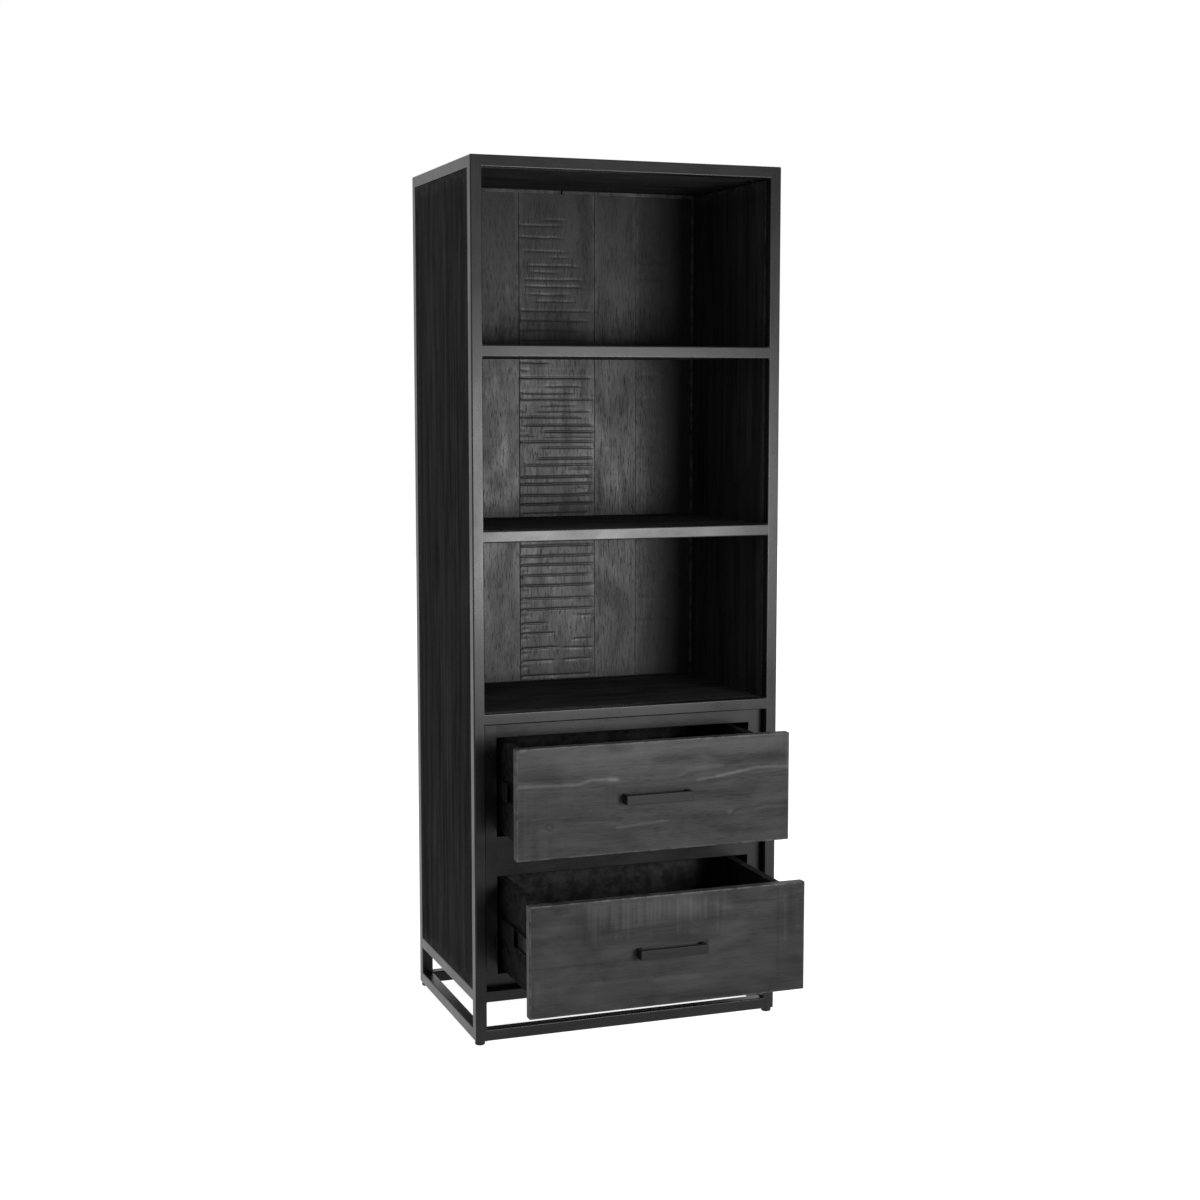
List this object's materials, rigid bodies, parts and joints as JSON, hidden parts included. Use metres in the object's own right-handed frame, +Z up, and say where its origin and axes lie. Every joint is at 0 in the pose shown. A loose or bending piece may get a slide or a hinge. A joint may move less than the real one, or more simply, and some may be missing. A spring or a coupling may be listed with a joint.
{
  "type": "bookcase with bottom drawers",
  "caption": "Tall open bookcase: a welded square-tube steel frame set with dark wood sides, back and shelves, and wide drawers with bar handles at the bottom.",
  "frame": {"origin": "on the floor, in the middle of the whole piece with its drawers as far open as it is drawn", "axes": "+Z up, +X to the right of someone facing the drawers, +Y from the drawer fronts to the back"},
  "size_m": [0.7, 0.739, 1.879],
  "materials": {
    "frame_steel": "satin gunmetal lacquer over brushed tube",
    "case_wood": "black stain and a thin satin lacquer over open grain and saw marks",
    "drawer_wood": "black stain and a thin satin lacquer over open grain and saw marks",
    "drawer_base_wood": "black-stained matt panel",
    "dowel_wood": "plain hardwood",
    "foot_plastic": "matt black",
    "handle_steel": "satin gunmetal lacquer",
    "runner_steel": "black coated sheet steel",
    "screw_steel": "black-passivated"
  },
  "bodies": {
    "case": {"post_front_left": "frame_steel", "post_front_right": "frame_steel", "post_back_left": "frame_steel", "post_back_right": "frame_steel", "top_rail_front": "frame_steel", "top_rail_back": "frame_steel", "top_rail_sides": "frame_steel", "shelf_rail_upper": "frame_steel", "shelf_rail_lower": "frame_steel", "drawer_rail": "frame_steel", "base_upper_rail_front": "frame_steel", "base_upper_rail_back": "frame_steel", "base_upper_rail_sides": "frame_steel", "base_lower_rail_front": "frame_steel", "base_lower_rail_back": "frame_steel", "base_lower_rail_sides": "frame_steel", "board_tabs": "frame_steel", "face_frame_stiles": "frame_steel", "face_frame_bottom": "frame_steel", "face_frame_middle": "frame_steel", "face_frame_top": "frame_steel", "side_panel_left": "case_wood", "side_panel_right": "case_wood", "shelf_upper": "case_wood", "shelf_lower": "case_wood", "drawer_bay_top": "case_wood", "top_board": "case_wood", "bottom_board": "case_wood", "back_board_1": "case_wood", "back_board_2": "case_wood", "back_board_3": "case_wood", "back_board_4": "case_wood", "back_battens": "case_wood", "case_liner_left": "case_wood", "case_liner_right": "case_wood", "feet": "foot_plastic", "shelf_dowels": "dowel_wood", "back_screws": "screw_steel", "case_runner_screws": "screw_steel", "runner_case_lower": "runner_steel", "runner_case_upper": "runner_steel"},
    "upper_drawer": {"upper_drawer_front": "drawer_wood", "upper_drawer_box_front": "drawer_wood", "upper_drawer_sides": "drawer_wood", "upper_drawer_back": "drawer_wood", "upper_drawer_bottom": "drawer_base_wood", "upper_drawer_handle": "handle_steel", "upper_drawer_screws": "screw_steel", "runner_drawer_upper": "runner_steel"},
    "upper_slider": {"runner_middle_upper": "runner_steel"},
    "lower_drawer": {"lower_drawer_front": "drawer_wood", "lower_drawer_box_front": "drawer_wood", "lower_drawer_sides": "drawer_wood", "lower_drawer_back": "drawer_wood", "lower_drawer_bottom": "drawer_base_wood", "lower_drawer_handle": "handle_steel", "lower_drawer_screws": "screw_steel", "runner_drawer_lower": "runner_steel"},
    "lower_slider": {"runner_middle_lower": "runner_steel"}
  },
  "joints": [
    {"name": "upper_drawer_slide", "type": "slide", "parent": "case", "child": "upper_drawer", "axis": [0, -1, 0], "range_m": [-0.1605, 0.1895]},
    {"name": "upper_slider_slide", "type": "slide", "parent": "case", "child": "upper_slider", "axis": [0, -1, 0], "range_m": [-0.08025, 0.09475]},
    {"name": "lower_drawer_slide", "type": "slide", "parent": "case", "child": "lower_drawer", "axis": [0, -1, 0], "range_m": [-0.2435, 0.1065]},
    {"name": "lower_slider_slide", "type": "slide", "parent": "case", "child": "lower_slider", "axis": [0, -1, 0], "range_m": [-0.12175, 0.05325]}
  ],
  "couplings": [
    {"joint": "upper_slider_slide", "follows": "upper_drawer_slide", "ratio": 0.5},
    {"joint": "lower_slider_slide", "follows": "lower_drawer_slide", "ratio": 0.5}
  ]
}
